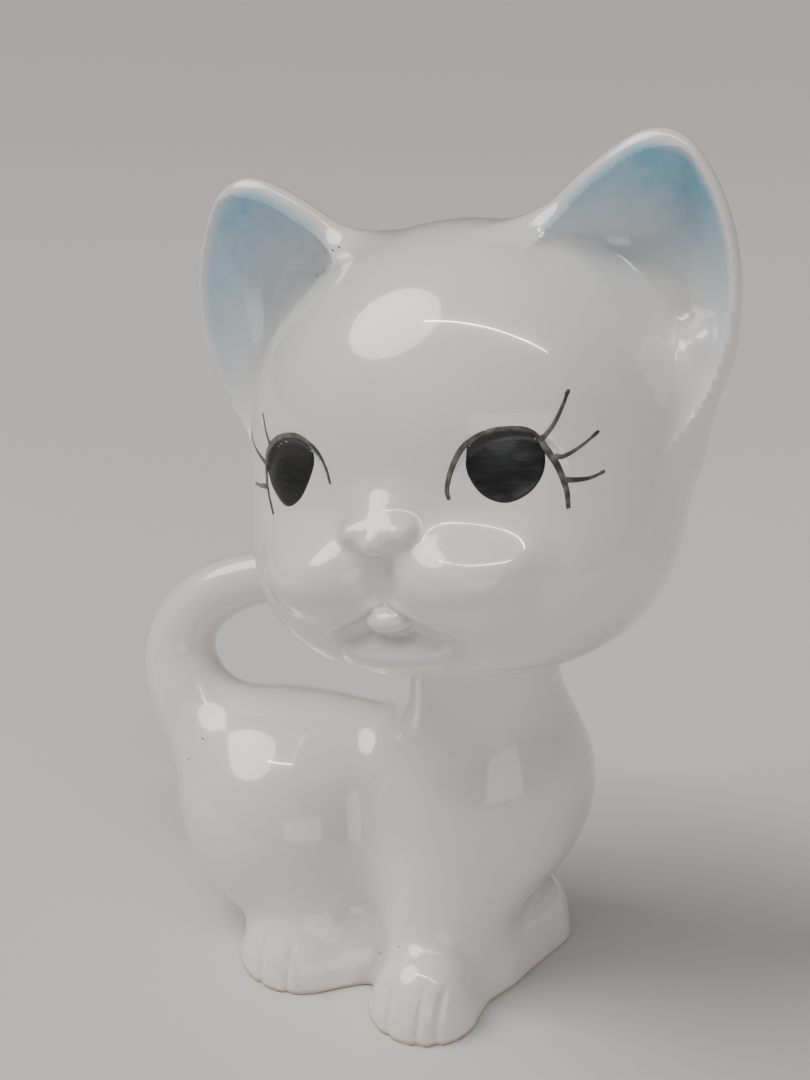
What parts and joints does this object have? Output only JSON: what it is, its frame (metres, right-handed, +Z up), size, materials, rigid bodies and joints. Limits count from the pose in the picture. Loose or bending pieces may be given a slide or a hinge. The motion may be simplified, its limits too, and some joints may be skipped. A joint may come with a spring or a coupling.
{
  "type": "ceramic cat figurine",
  "caption": "Glossy white hollow kitten figurine with a big tilted head, blue tinted ears, painted lashes and a tail looped up to the head.",
  "frame": {"origin": "on the standing plane, under the middle of the figurine's outline", "axes": "+Z up, the face and the toes look along -Y, +X is the kitten's left hand side"},
  "size_m": [0.0953, 0.0658, 0.1291],
  "materials": {
    "white_glaze": "glossy clear glaze over white clay, slightly pink grey",
    "blue_tinted_glaze": "glossy glaze, sprayed sky blue along the rim and tip, fading to white",
    "black_enamel": "brushed black enamel, half gloss",
    "grey_brown_enamel": "thin brushed grey brown enamel, half gloss"
  },
  "bodies": {
    "root": {"head_shell": "white_glaze", "body_shell": "white_glaze", "tail": "white_glaze", "front_foot": "white_glaze", "rear_foot": "white_glaze", "left_ear": "blue_tinted_glaze", "right_ear": "blue_tinted_glaze", "tongue": "white_glaze", "left_iris": "black_enamel", "right_iris": "black_enamel", "left_eyelid_line": "grey_brown_enamel", "right_eyelid_line": "grey_brown_enamel"}
  },
  "joints": []
}
